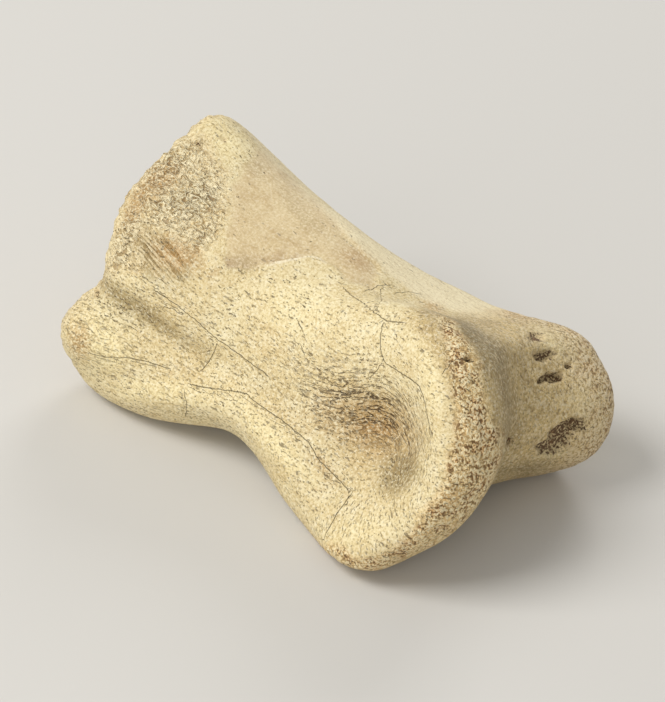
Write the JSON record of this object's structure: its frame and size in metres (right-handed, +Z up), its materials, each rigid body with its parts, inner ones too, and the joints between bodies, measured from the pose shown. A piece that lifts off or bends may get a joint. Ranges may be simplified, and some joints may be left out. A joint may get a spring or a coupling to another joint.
{
  "type": "fossil ornithomimid toe bone",
  "caption": "Fossil toe bone with a dished base, a waisted shaft and two unequal rounded condyles, lying on its underside.",
  "frame": {"origin": "under the middle of the bone's box, on the floor that it lies on", "axes": "+Z up from the floor, +X along the bone to the end with the two condyles, -Y to the side with the large condyle, which the picture shows"},
  "size_m": [0.0518, 0.0346, 0.026],
  "materials": {
    "fossil_bone": "matte, weathered, finely pored"
  },
  "bodies": {
    "root": {"toe_bone": "fossil_bone"}
  },
  "joints": []
}
